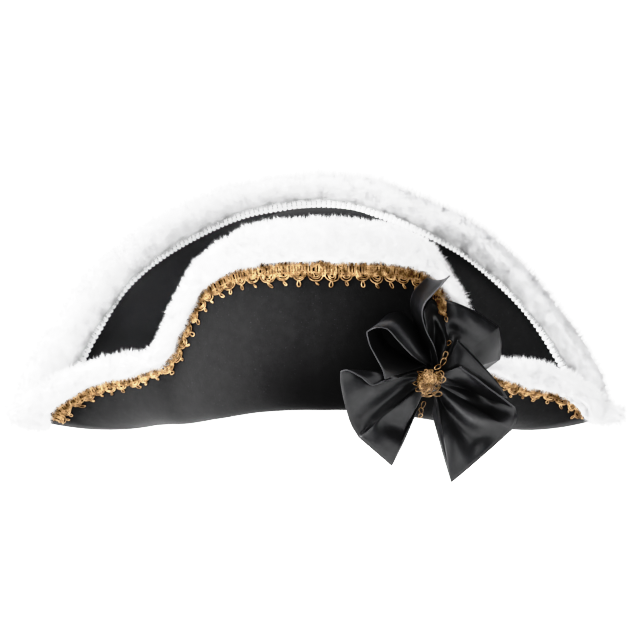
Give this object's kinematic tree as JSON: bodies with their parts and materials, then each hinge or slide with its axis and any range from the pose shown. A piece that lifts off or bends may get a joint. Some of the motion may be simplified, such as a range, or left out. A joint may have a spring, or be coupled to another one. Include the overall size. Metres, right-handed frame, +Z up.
{
  "type": "bicorne hat",
  "caption": "Black felt bicorne hat with white fur trim on both flaps, gold gimp braid along the front flap and a black satin bow tied with a gold braid knot.",
  "frame": {"origin": "middle of the head opening, on the level of the crown's seam, where the hat sits on a head", "axes": "+Z is up, the front flap with the bow faces -Y, the two points lie along X and the bow is on the +X side"},
  "size_m": [0.4634, 0.2684, 0.2139],
  "materials": {
    "felt": "black wool felt, matt, lightly fuzzy",
    "fur": "white plush fur",
    "tape": "white knitted tape with a scalloped edge",
    "braid": "gold metallised gimp cord",
    "satin": "black satin ribbon"
  },
  "bodies": {
    "root": {"crown": "felt", "brim": "felt", "back_fur": "fur", "back_fur_tape": "tape", "front_fur": "fur", "front_braid": "braid", "bow": "satin", "bow_strap": "braid"}
  },
  "joints": []
}
